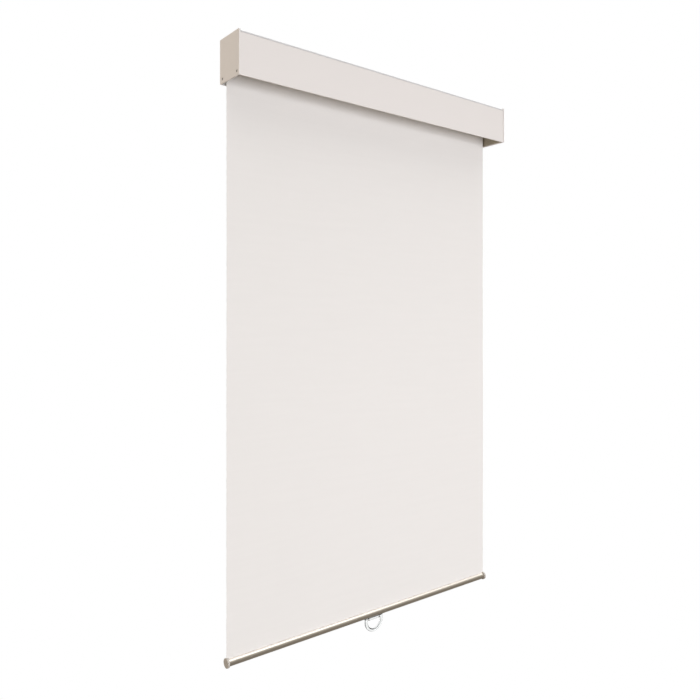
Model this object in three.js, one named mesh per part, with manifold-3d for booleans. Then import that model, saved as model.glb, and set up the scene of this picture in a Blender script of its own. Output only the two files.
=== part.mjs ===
// Roller blind in a box cassette, with a spring roller, a round hem bar and a pull ring.
// Millimetres. X runs along the width, Y points to the wall (the wall is at y = 0), Z is up.
// The origin is on the rear face of the centre wall bracket, at half the height of the end plates.
// Places near the two ends are given as s, the distance outwards from the middle of the width.
import * as THREE from 'three';
import { mergeVertices } from 'three/addons/utils/BufferGeometryUtils.js';
import Module from 'manifold-3d';

const wasm = await Module();
wasm.setup();

// ---------------------------------------------------------------- driving dimensions
const BLIND_WIDTH = 832; // over both end plates
const CASSETTE_DEPTH = 80; // wall to the front edge of an end plate
const PROFILE_HEIGHT = 90; // the aluminium profile
const PLATE_RISE = 3; // an end plate stands this far above the profile
const PLATE_PROUD = 1; // and this far in front of it
const HEM_DROP = 1214.4; // cassette's bottom to the hem bar's axis
const FABRIC_INSET = 9; // outer face of an end plate to the fabric's edge
const FABRIC_FROM_WALL = 11.3; // wall to the middle of the hanging fabric

const PLATE_THICK = 3;
const SKIN = 1.8; // walls of the profile
const TOP_SKIN = 2.2; // top wall, which carries the hook groove
const FABRIC_THICK = 0.4;
const GAP = 0.3; // between pieces that touch
const RUNNING_GAP = 0.3; // round a shaft or pin that turns

const TUBE_RADIUS = 21;
const TUBE_WALL = 1.8;
const TUBE_SHORTER = 1; // the tube ends this far inside the fabric's edge
const WOUND_THICK = 0.65; // the wraps left on the tube
const SHAFT_RADIUS = 4;
const PIN_RADIUS = 3;

const BRACKET_THICK = 2.5;
const HUB_RADIUS = 13;
const HUB_THICK = 1.9;
const SPIGOT_RADIUS = 8;

const SCREW_RADIUS = 1.5;
const SCREW_HEAD_RADIUS = 2.8;
const SCREW_HEAD_THICK = 1.6;
const SCREW_REACH = 10; // how far a screw goes into a port
const PORT_RADIUS = 3.2;
const SCREW_FROM_FRONT = 9; // end plate's front edge to its front screw
const SCREW_FROM_REAR = 10.4; // wall to its rear screw
const SCREW_FROM_BOTTOM = 9;

const LIP_HEIGHT = 2.4; // front edge of the rail, above the fascia
const SHADOW_GAP = 0.6; // between that edge and the fascia
const FASCIA_RETURN = 3.2; // depth of the fascia's bottom lip

const WALL_BRACKET_WIDTH = 36;
const WALL_BRACKET_THICK = 1.6;
const WALL_BRACKET_SPACING = 300;
const WALL_HOLE_RADIUS = 2.4;
const RAIL_TO_BRACKET = 0.4; // the brackets' legs to the rail, on its top and rear

const BAR_RADIUS = 8;
const BAR_SLOT = 1.1;
const SPLINE_RADIUS = 2;
const SPLINE_ABOVE = 3.6; // spline's axis above the bar's axis
const BAR_BORE_RADIUS = 2.9;
const BAR_BORE_BELOW = 3.2;
const CAP_RADIUS = 10.5;
const CAP_THICK = 4.5;
const CAP_PAST_FABRIC = 1.3; // a cap's outer face past the fabric's edge
const CAP_SPIGOT = 12;

const RING_WIDTH = 58;
const RING_DROP = 37; // bar's underside to the lowest point of the ring
const RING_THICK = 4.6;
const RING_BAND = 9; // sides of the ring
const RING_BOTTOM_BAND = 7.4;
const RING_TOP_BAND = 7;
const RING_SADDLE_DEPTH = 7.2;
const RING_SCREW_SPACING = 34;
const RING_SCREW_RADIUS = 1.3;
const RING_SCREW_HEAD = 2.2;
const RING_SCREW_HEAD_THICK = 1.6;
const RING_SCREW_LENGTH = 11;

// ---------------------------------------------------------------- places worked out from them
const PLATE_IN = BLIND_WIDTH / 2 - PLATE_THICK;
const PLATE_OUT = BLIND_WIDTH / 2;
const BOTTOM = -(PROFILE_HEIGHT + PLATE_RISE) / 2;
const TOP = BOTTOM + PROFILE_HEIGHT;
const PLATE_TOP = TOP + PLATE_RISE;
const FRONT = -CASSETTE_DEPTH + PLATE_PROUD;
const FRONT_IN = FRONT + SKIN;
const UNDER_TOP = TOP - TOP_SKIN;
const RAIL_REAR = -WALL_BRACKET_THICK - RAIL_TO_BRACKET;
const RAIL_REAR_IN = RAIL_REAR - SKIN;
const RAIL_END = PLATE_IN - GAP;

const BRACKET_OUT = PLATE_IN - GAP;
const BRACKET_IN = BRACKET_OUT - BRACKET_THICK;
const PORT_END = BRACKET_IN - GAP;
const HUB_OUT = BRACKET_IN - GAP;
const HUB_IN = HUB_OUT - HUB_THICK;
const SPIGOT_OUT = BRACKET_OUT - GAP;

const FABRIC_EDGE = PLATE_OUT - FABRIC_INSET;
const TUBE_END = FABRIC_EDGE - TUBE_SHORTER;
const TUBE_BORE = TUBE_RADIUS - TUBE_WALL;
const WOUND_IN = TUBE_RADIUS + GAP;
const WOUND_OUT = WOUND_IN + WOUND_THICK;
const FABRIC_Y = -FABRIC_FROM_WALL;
const ROLLER_Y = FABRIC_Y - FABRIC_THICK / 2 - GAP - WOUND_OUT;
const ROLLER_Z = 0;
const PLUG_RADIUS = TUBE_BORE - GAP;
const PLUG_FLANGE = TUBE_RADIUS - GAP;
const PLUG_OUT = HUB_IN - 0.5;

const FRONT_SCREW = { y: -CASSETTE_DEPTH + SCREW_FROM_FRONT, z: BOTTOM + SCREW_FROM_BOTTOM };
const REAR_SCREW = { y: -SCREW_FROM_REAR, z: BOTTOM + SCREW_FROM_BOTTOM };
const PORT_BELOW_TOP = PORT_RADIUS + 1.7;
const RAIL_PORTS = [
  { name: 'front', y: FRONT + 15, z: UNDER_TOP - PORT_BELOW_TOP },
  { name: 'rear', y: RAIL_REAR_IN - 5, z: UNDER_TOP - PORT_BELOW_TOP },
];

const BAR_Z = BOTTOM - HEM_DROP;
const CAP_OUT = FABRIC_EDGE + CAP_PAST_FABRIC;
const CAP_IN = CAP_OUT - CAP_THICK;
const BAR_END = CAP_IN - GAP;
const SPLINE_Z = BAR_Z + SPLINE_ABOVE;
const BAR_BORE_Z = BAR_Z - BAR_BORE_BELOW;
const FABRIC_END_Z = SPLINE_Z + SPLINE_RADIUS + GAP;
const RING_SCREWS_X = [-RING_SCREW_SPACING / 2, RING_SCREW_SPACING / 2];
const RING_TOP = BAR_Z - BAR_RADIUS;
const RING_HEAD_Z = RING_TOP - RING_TOP_BAND + 2; // seat of the ring's screw heads

// ---------------------------------------------------------------- materials
function paint(color, roughness, metalness) {
  return new THREE.MeshStandardMaterial({ color, roughness, metalness });
}

const COATED = paint(0xe6dfda, 0.5, 0.1);
const STEEL = paint(0xa9abad, 0.35, 0.9);
const SPRING_STEEL = paint(0x6e6c68, 0.4, 0.9);
const DARK_SCREW = paint(0x7d766c, 0.45, 0.8);
const ALUMINIUM = paint(0xc9c9c6, 0.4, 0.9);
const MOULDED = paint(0xd9d4cc, 0.45, 0);
const FABRIC = paint(0xebe7e4, 0.95, 0);
const BAR_COAT = paint(0xd9d0c5, 0.35, 0.3);
const CLEAR = paint(0xf4f6f6, 0.05, 0);

// ---------------------------------------------------------------- shaping
const Y_Z_X = new THREE.Matrix4().makeBasis(
  new THREE.Vector3(0, 1, 0),
  new THREE.Vector3(0, 0, 1),
  new THREE.Vector3(1, 0, 0),
);

/** An outline in Y and Z, pushed along X from one place to another. */
function alongX(shape, from, to, curveSegments = 12) {
  const depth = to - from;
  const geometry = new THREE.ExtrudeGeometry(shape, { depth, bevelEnabled: false, curveSegments });
  return geometry.applyMatrix4(Y_Z_X).translate(from, 0, 0);
}

/** The same at one end of the blind: side is -1 at the left and 1 at the right. */
function atEnd(shape, side, inner, outer, curveSegments) {
  const [from, to] = side < 0 ? [-outer, -inner] : [inner, outer];
  return alongX(shape, from, to, curveSegments);
}

/** A closed outline from a list of [y, z] corners. */
function outline(corners) {
  return new THREE.Shape(corners.map(([y, z]) => new THREE.Vector2(y, z)));
}

function disc(y, z, radius) {
  return new THREE.Shape().absarc(y, z, radius, 0, 2 * Math.PI, false);
}

function box(x0, x1, y0, y1, z0, z1) {
  const geometry = new THREE.BoxGeometry(x1 - x0, y1 - y0, z1 - z0);
  return geometry.translate((x0 + x1) / 2, (y0 + y1) / 2, (z0 + z1) / 2);
}

/** A piece turned about an axis along X. The profile is a list of [s, radius], s rising on its outside. */
function turned(profile, side, y, z, segments = 32) {
  const placed = profile.map(([s, radius]) => new THREE.Vector2(radius, side * s));
  const points = side < 0 ? placed.reverse() : placed;
  const geometry = new THREE.LatheGeometry(points, segments);
  return geometry.rotateZ(-Math.PI / 2).translate(0, y, z);
}

/** A turned ring or tube on the roller's axis: the four corners of its section. */
function sleeve(side, inner, outer, bore, radius, segments) {
  const profile = [[inner, bore], [inner, radius], [outer, radius], [outer, bore], [inner, bore]];
  return turned(profile, side, ROLLER_Y, ROLLER_Z, segments);
}

/** A closed mesh as a solid that can be cut and joined. */
function solid(geometry) {
  const bare = new THREE.BufferGeometry();
  bare.setAttribute('position', geometry.getAttribute('position'));
  bare.setIndex(geometry.getIndex());
  const merged = mergeVertices(bare, 1e-4);
  const index = merged.getIndex().array;
  const triVerts = [];
  for (let i = 0; i < index.length; i += 3) {
    const [a, b, c] = index.slice(i, i + 3);
    if (a !== b && b !== c && c !== a) {
      triVerts.push(a, b, c);
    }
  }
  const vertProperties = new Float32Array(merged.getAttribute('position').array);
  const mesh = new wasm.Mesh({ numProp: 3, vertProperties, triVerts: new Uint32Array(triVerts) });
  return new wasm.Manifold(mesh);
}

/** One geometry joined from some pieces, less some others. */
function carve(pieces, cuts) {
  let body = solid(pieces[0]);
  for (const piece of pieces.slice(1)) {
    body = body.add(solid(piece));
  }
  for (const cut of cuts) {
    body = body.subtract(solid(cut));
  }
  const mesh = body.getMesh();
  const geometry = new THREE.BufferGeometry();
  geometry.setAttribute('position', new THREE.BufferAttribute(mesh.vertProperties, 3));
  geometry.setIndex(new THREE.BufferAttribute(mesh.triVerts, 1));
  return geometry;
}

/** A round bar along X that goes right through, for cutting. */
function drill(side, inner, outer, y, z, radius) {
  return atEnd(disc(y, z, radius), side, inner, outer, 8);
}

const blind = new THREE.Group();

function add(name, geometry, material) {
  const mesh = new THREE.Mesh(geometry, material);
  mesh.name = name;
  blind.add(mesh);
}

const SIDES = [['left', -1], ['right', 1]];

// ---------------------------------------------------------------- cassette profile
const TONGUE_THICK = 1.6; // the fascia's hook
const RIB_BACK = FRONT + 5.8; // rear face of the rail's rib, which the hook goes behind
const RIB_FRONT = RIB_BACK - 2.6;
const TONGUE_TOP = UNDER_TOP - TONGUE_THICK - 0.6;
const HOOK_Y = FRONT + 12;
const HOOK_DEPTH = 0.8;
const CATCH_Z = -24.4; // rib on the rail's rear, under the wall brackets' lower ends
const CATCH_THICK = 1.6;

/** Rear and top wall in one, with the front lip, the hook's rib and the ports for the bracket screws. */
function backRail() {
  const skin = outline([
    [FRONT, TOP],
    [FRONT, TOP - LIP_HEIGHT],
    [FRONT + SKIN, TOP - LIP_HEIGHT],
    [FRONT + SKIN, UNDER_TOP],
    [RIB_FRONT, UNDER_TOP],
    [RIB_FRONT, TONGUE_TOP + RAIL_TO_BRACKET],
    [RIB_BACK, TONGUE_TOP + RAIL_TO_BRACKET],
    [RIB_BACK, UNDER_TOP],
    [RAIL_REAR_IN, UNDER_TOP],
    [RAIL_REAR_IN, BOTTOM + 3.5],
    [RAIL_REAR_IN - 0.8, BOTTOM + 3],
    [RAIL_REAR_IN - 0.8, BOTTOM],
    [-GAP, BOTTOM],
    [-GAP, BOTTOM + 1.6],
    [RAIL_REAR, BOTTOM + 1.6],
    [RAIL_REAR, CATCH_Z],
    [-RAIL_TO_BRACKET, CATCH_Z],
    [-RAIL_TO_BRACKET, CATCH_Z + CATCH_THICK],
    [RAIL_REAR, CATCH_Z + CATCH_THICK],
    [RAIL_REAR, TOP],
    [HOOK_Y + WALL_BRACKET_THICK + GAP, TOP],
    [HOOK_Y + WALL_BRACKET_THICK + GAP, TOP - HOOK_DEPTH - GAP],
    [HOOK_Y - GAP, TOP - HOOK_DEPTH - GAP],
    [HOOK_Y - GAP, TOP],
  ]);
  const pieces = [alongX(skin, -RAIL_END, RAIL_END)];
  const cuts = [];
  for (const port of RAIL_PORTS) {
    pieces.push(alongX(disc(port.y, port.z, PORT_RADIUS), -PORT_END, PORT_END, 8));
    pieces.push(box(-PORT_END, PORT_END, port.y - 1, port.y + 1, port.z, UNDER_TOP + 0.5));
    cuts.push(drill(1, -PORT_END - 1, PORT_END + 1, port.y, port.z, SCREW_RADIUS + GAP));
  }
  return carve(pieces, cuts);
}

/** Front wall with its bottom lip, the hook behind its top edge and the port for the end screws. */
function fascia() {
  const top = TOP - LIP_HEIGHT - SHADOW_GAP;
  const finger = RIB_BACK + RAIL_TO_BRACKET;
  const skin = outline([
    [FRONT, BOTTOM],
    [FRONT + FASCIA_RETURN, BOTTOM],
    [FRONT + FASCIA_RETURN, BOTTOM + SKIN],
    [FRONT_IN, BOTTOM + SKIN],
    [FRONT_IN, TONGUE_TOP - TONGUE_THICK],
    [finger + 1.2, TONGUE_TOP - TONGUE_THICK],
    [finger + 1.2, UNDER_TOP - RAIL_TO_BRACKET],
    [finger, UNDER_TOP - RAIL_TO_BRACKET],
    [finger, TONGUE_TOP],
    [FRONT_IN, TONGUE_TOP],
    [FRONT_IN, top],
    [FRONT, top],
  ]);
  const { y, z } = FRONT_SCREW;
  const pieces = [
    alongX(skin, -RAIL_END, RAIL_END),
    alongX(disc(y, z, PORT_RADIUS), -PORT_END, PORT_END, 8),
    box(-PORT_END, PORT_END, FRONT_IN - 0.5, y, z - 0.9, z + 0.9),
  ];
  return carve(pieces, [drill(1, -PORT_END - 1, PORT_END + 1, y, z, SCREW_RADIUS + GAP)]);
}

add('back_rail', backRail(), COATED);
add('fascia', fascia(), COATED);

// ---------------------------------------------------------------- ends of the cassette
/** Thin flat cover with counterbored holes for its two screws and pockets over the bracket screws' heads. */
function endPlate(side) {
  const r = 1.2;
  const [y0, y1, z0, z1] = [-CASSETTE_DEPTH, 0, BOTTOM, PLATE_TOP];
  const face = new THREE.Shape();
  face.absarc(y1 - r, z1 - r, r, 0, Math.PI / 2, false);
  face.absarc(y0 + r, z1 - r, r, Math.PI / 2, Math.PI, false);
  face.absarc(y0 + r, z0 + r, r, Math.PI, 1.5 * Math.PI, false);
  face.absarc(y1 - r, z0 + r, r, 1.5 * Math.PI, 2 * Math.PI, false);
  const headRoom = SCREW_HEAD_RADIUS + GAP;
  const counterbore = PLATE_OUT - SCREW_HEAD_THICK - 2 * GAP;
  const cuts = [];
  for (const { y, z } of [FRONT_SCREW, REAR_SCREW]) {
    cuts.push(drill(side, PLATE_IN - 1, PLATE_OUT + 1, y, z, SCREW_RADIUS + GAP));
    cuts.push(drill(side, counterbore, PLATE_OUT + 1, y, z, headRoom));
  }
  for (const { y, z } of RAIL_PORTS) {
    cuts.push(drill(side, PLATE_IN - 1, PLATE_IN + SCREW_HEAD_THICK + GAP, y, z, headRoom));
  }
  return carve([atEnd(face, side, PLATE_IN, PLATE_OUT, 3)], cuts);
}

/** Steel plate inside the end of the profile. It carries the roller's hub. */
function endBracket(side) {
  const clear = GAP + 0.1;
  const hookClear = RIB_BACK + RAIL_TO_BRACKET + 1.2 + clear;
  const face = outline([
    [FRONT_IN + clear, BOTTOM + SKIN + clear],
    [RAIL_REAR_IN - 0.8 - clear, BOTTOM + SKIN + clear],
    [RAIL_REAR_IN - 0.8 - clear, UNDER_TOP - clear],
    [hookClear, UNDER_TOP - clear],
    [hookClear, TONGUE_TOP - TONGUE_THICK - clear],
    [FRONT_IN + clear, TONGUE_TOP - TONGUE_THICK - clear],
  ]);
  const cuts = [drill(side, BRACKET_IN - 1, BRACKET_OUT + 1, ROLLER_Y, ROLLER_Z, SPIGOT_RADIUS + GAP)];
  for (const { y, z } of [...RAIL_PORTS, FRONT_SCREW, REAR_SCREW]) {
    cuts.push(drill(side, BRACKET_IN - 1, BRACKET_OUT + 1, y, z, SCREW_RADIUS + GAP));
  }
  return carve([atEnd(face, side, BRACKET_IN, BRACKET_OUT)], cuts);
}

/** Flat-headed screw along X: its head's inner and outer faces and its tip. */
function screw(side, tip, headIn, y, z) {
  const headOut = headIn + SCREW_HEAD_THICK;
  const profile = [
    [tip, 0], [tip, SCREW_RADIUS], [headIn, SCREW_RADIUS], [headIn, SCREW_HEAD_RADIUS],
    [headOut, SCREW_HEAD_RADIUS], [headOut, 0],
  ];
  return turned(profile, side, y, z, 12);
}

for (const [end, side] of SIDES) {
  const headIn = PLATE_OUT - SCREW_HEAD_THICK - GAP;
  const portTip = PORT_END - SCREW_REACH;
  add(`end_plate_${end}`, endPlate(side), COATED);
  add(`end_bracket_${end}`, endBracket(side), COATED);
  add(`end_screw_front_${end}`, screw(side, portTip, headIn, FRONT_SCREW.y, FRONT_SCREW.z), DARK_SCREW);
  add(`end_screw_rear_${end}`, screw(side, BRACKET_IN + GAP, headIn, REAR_SCREW.y, REAR_SCREW.z), DARK_SCREW);
  for (const { name, y, z } of RAIL_PORTS) {
    add(`bracket_screw_${name}_${end}`, screw(side, portTip, PLATE_IN, y, z), STEEL);
  }
}

// ---------------------------------------------------------------- wall brackets
/** Bent steel strip: a leg on the wall, a leg over the rail and a hook into the rail's groove. */
function wallBracket(x) {
  const over = TOP + GAP;
  const strip = outline([
    [0, CATCH_Z + CATCH_THICK + RAIL_TO_BRACKET],
    [0, over + WALL_BRACKET_THICK],
    [HOOK_Y, over + WALL_BRACKET_THICK],
    [HOOK_Y, TOP - HOOK_DEPTH],
    [HOOK_Y + WALL_BRACKET_THICK, TOP - HOOK_DEPTH],
    [HOOK_Y + WALL_BRACKET_THICK, over],
    [-WALL_BRACKET_THICK, over],
    [-WALL_BRACKET_THICK, CATCH_Z + CATCH_THICK + RAIL_TO_BRACKET],
  ]);
  const holes = [24, -12].map((z) => {
    const hole = new THREE.CylinderGeometry(WALL_HOLE_RADIUS, WALL_HOLE_RADIUS, 4 * WALL_BRACKET_THICK, 16);
    return hole.translate(x, 0, z);
  });
  return carve([alongX(strip, x - WALL_BRACKET_WIDTH / 2, x + WALL_BRACKET_WIDTH / 2)], holes);
}

for (const [place, steps] of [['left', -1], ['centre', 0], ['right', 1]]) {
  add(`wall_bracket_${place}`, wallBracket(steps * WALL_BRACKET_SPACING), STEEL);
}

// ---------------------------------------------------------------- fixed half of the spring motor
const BLADE_WIDTH = 9;
const BLADE_THICK = 3;
const PLUG_FLOOR = 6;
const PLUG_WALL = 2.7;
const CUP_FLOOR = PLUG_OUT - 8.5; // floor of the spring plug's cup
const PLUG_IN = CUP_FLOOR - PLUG_FLOOR;
const BOSS_LENGTH = 8;
const BOSS_RADIUS = 7.2; // the spring's end coils sit round it
const ROUND_SHAFT_OUT = CUP_FLOOR + 5; // outwards of this the shaft is a flat blade
const SPRING_WIRE = 0.8;
const SPRING_RADIUS = BOSS_RADIUS + 0.8 + SPRING_WIRE;
const SPRING_TURNS = 20;
const SPRING_LENGTH = 303;
const SPRING_OUT = PLUG_IN - SPRING_WIRE - 0.5;
const SPRING_IN = SPRING_OUT - SPRING_LENGTH;
const ANCHOR_LENGTH = 12;
const ANCHOR_IN = SPRING_IN - 2;
const SUPPORT_THICK = 5;
const SUPPORT_OUT = ANCHOR_IN - 2;
const WHEEL_RADIUS = 8;
const WHEEL_IN = CUP_FLOOR + 1;
const WHEEL_THICK = 3.5;
const PAWL_THICK = 3;

/** Disc on the end bracket with a spigot in the bracket's hole. */
function hub(side) {
  return turned([
    [HUB_IN, 0], [HUB_IN, HUB_RADIUS], [HUB_OUT, HUB_RADIUS], [HUB_OUT, SPIGOT_RADIUS],
    [SPIGOT_OUT, SPIGOT_RADIUS], [SPIGOT_OUT, 0],
  ], side, ROLLER_Y, ROLLER_Z);
}

function spearHub() {
  const width = BLADE_WIDTH / 2 + GAP;
  const thick = BLADE_THICK / 2 + GAP;
  const slot = box(
    -SPIGOT_OUT - 1, -HUB_IN + 1, ROLLER_Y - thick, ROLLER_Y + thick, ROLLER_Z - width, ROLLER_Z + width,
  );
  return carve([hub(-1)], [slot]);
}

function idlerHub() {
  const bore = drill(1, HUB_IN - 1, SPIGOT_OUT + 1, ROLLER_Y, ROLLER_Z, PIN_RADIUS + RUNNING_GAP);
  return carve([hub(1)], [bore]);
}

/** Round rod that runs into the roller, flattened where it stands in the spear hub. */
function spearShaft() {
  const rod = [
    [SUPPORT_OUT - SUPPORT_THICK - 1, 0], [SUPPORT_OUT - SUPPORT_THICK - 1, SHAFT_RADIUS],
    [ROUND_SHAFT_OUT, SHAFT_RADIUS], [ROUND_SHAFT_OUT, 0],
  ];
  const blade = box(
    -SPIGOT_OUT, -ROUND_SHAFT_OUT + GAP, ROLLER_Y - BLADE_THICK / 2, ROLLER_Y + BLADE_THICK / 2,
    ROLLER_Z - BLADE_WIDTH / 2, ROLLER_Z + BLADE_WIDTH / 2,
  );
  return carve([turned(rod, -1, ROLLER_Y, ROLLER_Z, 24), blade], []);
}

/** Disc with two steps that the pawls catch, half a turn apart. */
function ratchetWheel() {
  const rim = new THREE.Shape();
  const foot = WHEEL_RADIUS - 2.2;
  rim.absarc(ROLLER_Y, ROLLER_Z, WHEEL_RADIUS, 0.3, Math.PI - 0.3, false);
  rim.absarc(ROLLER_Y, ROLLER_Z, foot, Math.PI - 0.1, Math.PI, false);
  rim.absarc(ROLLER_Y, ROLLER_Z, WHEEL_RADIUS, Math.PI + 0.3, 2 * Math.PI - 0.3, false);
  rim.absarc(ROLLER_Y, ROLLER_Z, foot, -0.1, 0, false);
  rim.closePath();
  const bore = drill(-1, WHEEL_IN - 1, WHEEL_IN + WHEEL_THICK + 1, ROLLER_Y, ROLLER_Z, SHAFT_RADIUS + GAP);
  return carve([atEnd(rim, -1, WHEEL_IN, WHEEL_IN + WHEEL_THICK, 8)], [bore]);
}

/** A coil on the roller's axis as one closed tube of round wire. */
function coil(side, inner, outer, radius, wire, turns) {
  const steps = 8;
  const sides = 5;
  class Helix extends THREE.Curve {
    getPoint(t, target = new THREE.Vector3()) {
      const angle = 2 * Math.PI * turns * t;
      const s = inner + (outer - inner) * t;
      return target.set(side * s, ROLLER_Y + radius * Math.cos(angle), ROLLER_Z + radius * Math.sin(angle));
    }
  }
  const section = new THREE.Shape();
  for (let i = 0; i < sides; i += 1) {
    const angle = (2 * Math.PI * i) / sides;
    const [x, y] = [wire * Math.cos(angle), wire * Math.sin(angle)];
    if (i === 0) {
      section.moveTo(x, y);
    } else {
      section.lineTo(x, y);
    }
  }
  section.closePath();
  return new THREE.ExtrudeGeometry(section, { steps: turns * steps, extrudePath: new Helix() });
}

/** Spring of the motor: one end round the plug's boss, the other round the shaft's anchor. */
function torsionSpring() {
  return coil(-1, SPRING_IN, SPRING_OUT, SPRING_RADIUS, SPRING_WIRE, SPRING_TURNS);
}

function shaftAnchor() {
  return sleeve(-1, ANCHOR_IN, ANCHOR_IN + ANCHOR_LENGTH, SHAFT_RADIUS + GAP, BOSS_RADIUS, 24);
}

add('spear_hub', spearHub(), MOULDED);
add('idler_hub', idlerHub(), MOULDED);
add('spear_shaft', spearShaft(), STEEL);
add('ratchet_wheel', ratchetWheel(), STEEL);
add('torsion_spring', torsionSpring(), SPRING_STEEL);
add('shaft_anchor', shaftAnchor(), MOULDED);

// ---------------------------------------------------------------- roller
const STRIP_WIDTH = 4.4;
const STRIP_THICK = 0.6;
const PAWL_PIN_RADIUS = 1.2;
const PAWL_PIN_AT = 12.5; // pawl pins' distance from the roller's axis
const PAWL_PIN_SEAT = 4; // depth of a pawl pin's hole in the plug's floor
const COLLAR_RADIUS = 5.2;
const CHAMBER_OUT = PLUG_OUT - 3.5; // the idler pin's collar rests against this end of its chamber
const CHAMBER_IN = CHAMBER_OUT - 18;
const RETAINER_THICK = 2;
const COLLAR_THICK = 2.5;

/** Aluminium tube with a shallow groove along its top for the fabric's fixing strip. */
function rollerTube() {
  const deep = STRIP_THICK + GAP;
  const wide = STRIP_WIDTH / 2 + GAP;
  const groove = box(
    -TUBE_END - 1, TUBE_END + 1, ROLLER_Y - wide, ROLLER_Y + wide,
    ROLLER_Z + TUBE_RADIUS - deep - 0.1, ROLLER_Z + TUBE_RADIUS + 1,
  );
  const tube = sleeve(1, -TUBE_END, TUBE_END, TUBE_BORE, TUBE_RADIUS, 40);
  return carve([tube], [groove]);
}

function fixingStrip() {
  const top = ROLLER_Z + TUBE_RADIUS - 0.1;
  const half = STRIP_WIDTH / 2;
  return box(-TUBE_END, TUBE_END, ROLLER_Y - half, ROLLER_Y + half, top - STRIP_THICK, top);
}

/** The turns of fabric that stay on the tube when the blind is right down. */
function fabricWound() {
  return sleeve(1, -FABRIC_EDGE, FABRIC_EDGE, WOUND_IN, WOUND_OUT, 40);
}

/** Disc in the tube that steadies the inner end of the shaft. */
function shaftSupport() {
  return sleeve(-1, SUPPORT_OUT - SUPPORT_THICK, SUPPORT_OUT, SHAFT_RADIUS + RUNNING_GAP, PLUG_RADIUS, 28);
}

/** Centre of a pawl's pin: turn 0 is over the shaft and turn 1 under it. */
function pawlPin(turn) {
  const up = turn === 0 ? 1 : -1;
  return { y: ROLLER_Y, z: ROLLER_Z + up * PAWL_PIN_AT, up };
}

/** Cup in the left end of the tube, with a boss for the spring and a bore that turns on the shaft. */
function springPlug() {
  const bore = SHAFT_RADIUS + RUNNING_GAP;
  const profile = [
    [PLUG_IN - BOSS_LENGTH, bore], [PLUG_IN - BOSS_LENGTH, BOSS_RADIUS], [PLUG_IN, BOSS_RADIUS],
    [PLUG_IN, PLUG_RADIUS], [TUBE_END + GAP, PLUG_RADIUS], [TUBE_END + GAP, PLUG_FLANGE],
    [PLUG_OUT, PLUG_FLANGE], [PLUG_OUT, PLUG_RADIUS - PLUG_WALL], [CUP_FLOOR, PLUG_RADIUS - PLUG_WALL],
    [CUP_FLOOR, bore], [PLUG_IN - BOSS_LENGTH, bore],
  ];
  const seats = [0, 1].map((turn) => {
    const { y, z } = pawlPin(turn);
    return drill(-1, CUP_FLOOR - PAWL_PIN_SEAT, CUP_FLOOR + 1, y, z, PAWL_PIN_RADIUS + GAP);
  });
  return carve([turned(profile, -1, ROLLER_Y, ROLLER_Z, 28)], seats);
}

/** Plug in the right end of the tube, with the sprung pin's chamber in its middle. */
function idlerPlug() {
  const chamber = COLLAR_RADIUS + GAP;
  const profile = [
    [CHAMBER_IN, chamber], [CHAMBER_IN, chamber + 2.5], [PLUG_OUT - 4.5, chamber + 2.5],
    [PLUG_OUT - 4.5, PLUG_RADIUS - PLUG_WALL], [CHAMBER_IN + 6, PLUG_RADIUS - PLUG_WALL],
    [CHAMBER_IN + 6, PLUG_RADIUS], [TUBE_END + GAP, PLUG_RADIUS], [TUBE_END + GAP, PLUG_FLANGE],
    [PLUG_OUT, PLUG_FLANGE], [PLUG_OUT, PIN_RADIUS + RUNNING_GAP], [CHAMBER_OUT, PIN_RADIUS + RUNNING_GAP],
    [CHAMBER_OUT, chamber], [CHAMBER_IN, chamber],
  ];
  return turned(profile, 1, ROLLER_Y, ROLLER_Z, 28);
}

/** Pin with a collar: it slides in against its spring to free the roller from its hub. */
function idlerPin() {
  const collarOut = CHAMBER_OUT - GAP;
  return turned([
    [CHAMBER_IN + GAP, 0], [CHAMBER_IN + GAP, PIN_RADIUS], [collarOut - COLLAR_THICK, PIN_RADIUS],
    [collarOut - COLLAR_THICK, COLLAR_RADIUS], [collarOut, COLLAR_RADIUS], [collarOut, PIN_RADIUS],
    [SPIGOT_OUT - GAP, PIN_RADIUS], [SPIGOT_OUT - GAP, 0],
  ], 1, ROLLER_Y, ROLLER_Z, 24);
}

function idlerSpring() {
  const wire = 0.45;
  const inner = CHAMBER_IN + 2 * GAP + RETAINER_THICK + wire;
  const outer = CHAMBER_OUT - 2 * GAP - COLLAR_THICK - wire;
  const radius = (PIN_RADIUS + COLLAR_RADIUS + GAP) / 2;
  return coil(1, inner, outer, radius, wire, 6);
}

/** Washer that closes the chamber behind the spring. */
function idlerRetainer() {
  return sleeve(1, CHAMBER_IN, CHAMBER_IN + RETAINER_THICK, PIN_RADIUS + RUNNING_GAP, COLLAR_RADIUS, 24);
}

/** Flat lever with a round eye on its pin and a nose that points at the wheel. */
function pawl(turn) {
  const { y, z, up } = pawlPin(turn);
  const nose = [[2.8, -1], [5.4, -4.8], [4.4, -5.2], [-1, -2.7]];
  const arm = outline(nose.map(([across, out]) => [y + up * across, z + up * out]));
  const inner = WHEEL_IN + GAP;
  const eye = drill(-1, inner, inner + PAWL_THICK, y, z, 2.8);
  const hole = drill(-1, inner - 1, inner + PAWL_THICK + 1, y, z, PAWL_PIN_RADIUS + RUNNING_GAP);
  return carve([eye, atEnd(arm, -1, inner, inner + PAWL_THICK)], [hole]);
}

function pawlPinPiece(turn) {
  const { y, z } = pawlPin(turn);
  const out = WHEEL_IN + GAP + PAWL_THICK + 0.8;
  const inner = CUP_FLOOR - PAWL_PIN_SEAT + GAP;
  return turned([[inner, 0], [inner, PAWL_PIN_RADIUS], [out, PAWL_PIN_RADIUS], [out, 0]], -1, y, z, 12);
}

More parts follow.
